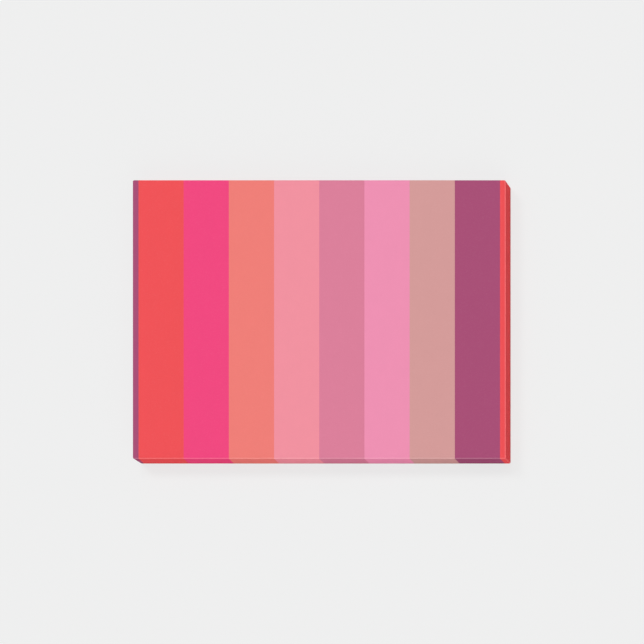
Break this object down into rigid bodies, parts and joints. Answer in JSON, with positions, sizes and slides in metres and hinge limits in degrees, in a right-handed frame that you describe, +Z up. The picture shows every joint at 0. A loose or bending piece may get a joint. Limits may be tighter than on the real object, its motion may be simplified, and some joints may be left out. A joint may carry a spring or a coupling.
{
  "type": "sticky note pad",
  "caption": "Flat oblong pad of paper notes with upright stripes in pinks and reds, gummed along a long edge on a backing sheet, for written notes that peel off and stick elsewhere.",
  "frame": {"origin": "middle of the underside, on the surface that the pad lies on", "axes": "+X along the long side, to the right as the stripes are read; +Y towards the gummed edge; +Z up, out of the top note"},
  "size_m": [0.1022, 0.0764, 0.0052],
  "materials": {
    "printed_paper": "matte",
    "backing_paper": "matte"
  },
  "bodies": {
    "root": {"note_sheets": "printed_paper", "backing_sheet": "backing_paper"}
  },
  "joints": []
}
